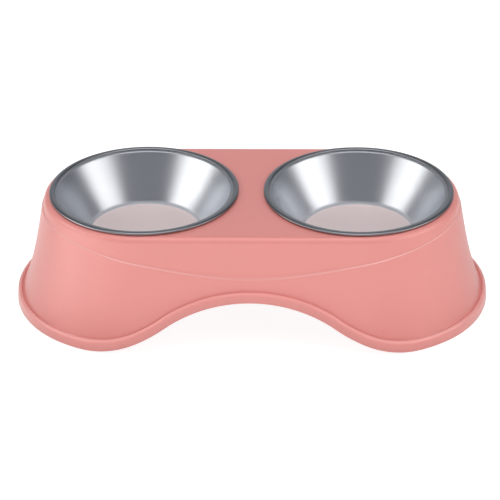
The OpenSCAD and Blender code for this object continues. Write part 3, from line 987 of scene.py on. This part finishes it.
class PETBOWL_OT_bowls(bpy.types.Operator):
    """The two spun bowls with rolled rims"""

    bl_idname = "petbowl.bowls"
    bl_label = "Spun bowls"

    def execute(self, context):
        settings = context.scene.petbowl
        material = spun_steel(settings.finish, settings.bowl)
        section = bowl_section(settings.bowl)
        for node in ("left_bowl", "right_bowl"):
            place, _ = top_of(node)
            place.z -= settings.bowl.rim_h
            bowl = spun(f"spun_{node}", section, place, settings.bowl.steps, material)
            hand_over(bowl, 50, node, "brushed_steel", node)
        return {"FINISHED"}


class PETBOWL_OT_feet(bpy.types.Operator):
    """Rubber feet pushed into the stand's bosses"""

    bl_idname = "petbowl.feet"
    bl_label = "Rubber feet"

    def execute(self, context):
        settings = context.scene.petbowl
        material = foot_rubber(settings.finish)
        foot = settings.foot
        for node in FOOT_NODES:
            place, radius = top_of(node)
            place.z = 0
            section = foot_section(foot, radius, foot.pad_h + settings.stand.boss_web)
            pad = spun(f"rubber_{node}", section, place, foot.steps, material)
            hand_over(pad, 40, "stand", "foot_rubber", node)
        return {"FINISHED"}


def make_camera(stage):
    """The camera of the photograph's viewing angle."""
    data = bpy.data.cameras.new("camera")
    data.lens = stage.focal
    data.sensor_width = 36
    data.clip_end = 50
    camera = new_piece("camera", data)
    place = Matrix.Translation(stage.camera_place) @ Matrix.Rotation(-stage.yaw, 4, "Z")
    aim = Matrix.Rotation(math.pi / 2 - stage.pitch, 4, "X")
    camera.matrix_world = place @ aim @ Matrix.Rotation(stage.roll, 4, "Z")
    bpy.context.scene.camera = camera


def softbox(name, azimuth, elevation, distance, size, level, tone=(1, 1, 1), gloss=False):
    """An area light that looks at the object from an azimuth, with 0 in front of it, and shows
    either in gloss or in plain light. The level is the brightness of a white face turned to it."""
    target = Vector((0, 0, DECK_Z / 2))
    turn, rise = math.radians(azimuth), math.radians(elevation)
    away = Vector((math.sin(turn), -math.cos(turn), math.tan(rise))).normalized()
    place = target + away * distance
    data = bpy.data.lights.new(name, "AREA")
    data.shape = "RECTANGLE"
    data.size, data.size_y = size
    data.energy = level * (math.pi * distance) ** 2
    data.color = tone
    lamp = new_piece(name, data)
    aim = (target - place).to_track_quat("-Z", "Y").to_matrix().to_4x4()
    lamp.matrix_world = Matrix.Translation(place) @ aim
    lamp.visible_glossy = gloss
    lamp.visible_diffuse = not gloss


def ray_kinds(tree):
    """Terms that are 1 for a ray from the camera, from gloss and through glass, and else 0."""
    path = tree.nodes.new("ShaderNodeLightPath").outputs
    kinds = ("Is Camera Ray", "Is Glossy Ray", "Is Transmission Ray")
    return [Term(tree, path[kind]) for kind in kinds]


# Where the studio changes in gloss: the start of each ramp and its width, in metres on the
# floor, and in parts of the direction in the room
FLOOR_AHEAD = (0.04, -0.16)
FLOOR_LEFT = (-0.24, -0.14)
FLOOR_RIGHT = (0.24, 0.14)
FLOOR_SHADED = (0.15, 0.05)
FLOOR_BACK_GLOW = 0.4
ROOM_UP = (0.87, 0.08)
ROOM_LEFT = (-0.3, -0.6)
ROOM_BACK = (0.72, 0.13)
ROOM_BESIDE = (0.6, 0.25)
ROOM_RISE = (0, 0.2)


def make_floor(stage):
    """A pale floor that shows white and keeps the object's shadow."""
    half = stage.floor_size / 2
    corners = [(-half, -half, 0), (half, -half, 0), (half, half, 0), (-half, half, 0)]
    mesh = bpy.data.meshes.new("floor")
    mesh.from_pydata(corners, [], [(0, 1, 2, 3)])
    floor = new_piece("floor", mesh)
    material, tree, _ = surface_material("Pale floor")
    tree.nodes.clear()
    camera, mirror, through = ray_kinds(tree)
    tone = camera.either(stage.floor_tone, stage.floor_bounce)
    pale = put(tree, "ShaderNodeBsdfDiffuse", Color=vector_of(tree, tone, tone, tone))
    x, y, _ = parts_of(tree, object_place(tree))
    left = x.ramp(*FLOOR_LEFT) * stage.sheen_left
    right = x.ramp(*FLOOR_RIGHT) * stage.sheen_right
    shaded = x.ramp(*FLOOR_SHADED) * -stage.shade_right
    sheen = y.ramp(*FLOOR_AHEAD).either(
        left + right + stage.floor_glow, shaded + stage.floor_glow * FLOOR_BACK_GLOW
    )
    shine = mirror.either(sheen, camera.most(through) * stage.floor_glow)
    glow = put(tree, "ShaderNodeEmission", Color=(1, 1, 1, 1), Strength=shine)
    both = tree.nodes.new("ShaderNodeAddShader")
    link(tree, pale, both.inputs[0])
    link(tree, glow, both.inputs[1])
    put(tree, "ShaderNodeOutputMaterial", Surface=both)
    mesh.materials.append(material)


def make_world(stage):
    """A white backdrop, a plain fill, and the dim front and sides of the studio in gloss."""
    world = bpy.data.worlds.new("studio")
    bpy.context.scene.world = world
    world.use_nodes = True
    tree = world.node_tree
    tree.nodes.clear()
    camera, mirror, through = ray_kinds(tree)
    x, y, z = parts_of(tree, tree.nodes.new("ShaderNodeTexCoord").outputs["Generated"])
    sideways = abs(x).ramp(*ROOM_BESIDE) * z.ramp(*ROOM_RISE)
    walls = mix(tree, x.ramp(*ROOM_LEFT), stage.dim_right, stage.dim_left)
    front = mix(tree, sideways * stage.beside, walls, (1, 1, 1))
    room = mix(tree, y.ramp(*ROOM_BACK), front, stage.behind)
    ceiling = [value * stage.overhead_level for value in stage.overhead]
    gloss = mix(tree, z.ramp(*ROOM_UP), room, ceiling)
    light_or_gloss = mix(tree, mirror, [stage.fill] * 3, gloss)
    white = mix(tree, camera.most(through), light_or_gloss, (1, 1, 1))
    light = put(tree, "ShaderNodeBackground", Color=white)
    put(tree, "ShaderNodeOutputWorld", Surface=light)


class PETBOWL_OT_stage(bpy.types.Operator):
    """Camera, pale floor, white backdrop and soft light"""

    bl_idname = "petbowl.stage"
    bl_label = "Stage"

    def execute(self, context):
        stage = context.scene.petbowl.stage
        make_camera(stage)
        make_floor(stage)
        make_world(stage)

        # The boxes for gloss stand before the plain ones, which would hide them
        tone, shine = stage.side_colour, stage.side_shine
        softbox("left_box", -80, 28, 2.2, (1.8, 1.1), stage.side_light, tone)
        softbox("right_box", 74, 28, 2.2, (1.8, 1.1), stage.side_light, tone)
        softbox("front_box", 0, 3, 2.2, (1.2, 0.5), stage.front_light)
        softbox("top_box", 0, 80, 2.2, (1.2, 1.2), stage.top_light)
        softbox("left_shine", -80, 28, 2, (1.74, 1.1), shine, tone, gloss=True)
        softbox("right_shine", 73, 28, 2, (1.68, 1.1), shine, tone, gloss=True)
        context.scene.view_settings.view_transform = "Standard"
        return {"FINISHED"}


class PETBOWL_PT_panel(bpy.types.Panel):
    """Settings and steps of the double pet bowl"""

    bl_idname = "PETBOWL_PT_panel"
    bl_label = "Double Pet Bowl"
    bl_space_type = "VIEW_3D"
    bl_region_type = "UI"
    bl_category = "Pet Bowl"

    def draw(self, context):
        for group, operator in GROUPS.items():
            box = self.layout.box()
            if operator:
                box.operator(operator.bl_idname)
            settings = getattr(context.scene.petbowl, group)
            for name in settings.bl_rna.properties.keys():
                if name not in ("rna_type", "name"):
                    box.prop(settings, name)


GROUPS = {
    "finish": None,
    "stand": PETBOWL_OT_stand,
    "bowl": PETBOWL_OT_bowls,
    "foot": PETBOWL_OT_feet,
    "stage": PETBOWL_OT_stage,
}
CLASSES = (
    PETBOWL_PG_stand, PETBOWL_PG_bowl, PETBOWL_PG_foot, PETBOWL_PG_finish, PETBOWL_PG_stage,
    PETBOWL_PG_settings, PETBOWL_OT_stand, PETBOWL_OT_bowls, PETBOWL_OT_feet, PETBOWL_OT_stage,
    PETBOWL_PT_panel,
)


def register():
    for cls in CLASSES:
        bpy.utils.register_class(cls)
    bpy.types.Scene.petbowl = bpy.props.PointerProperty(type=PETBOWL_PG_settings)


def unregister():
    del bpy.types.Scene.petbowl
    for cls in reversed(CLASSES):
        bpy.utils.unregister_class(cls)


def main():
    register()
    bpy.ops.petbowl.stand()
    bpy.ops.petbowl.bowls()
    bpy.ops.petbowl.feet()
    bpy.ops.petbowl.stage()


if __name__ == "__main__":
    main()
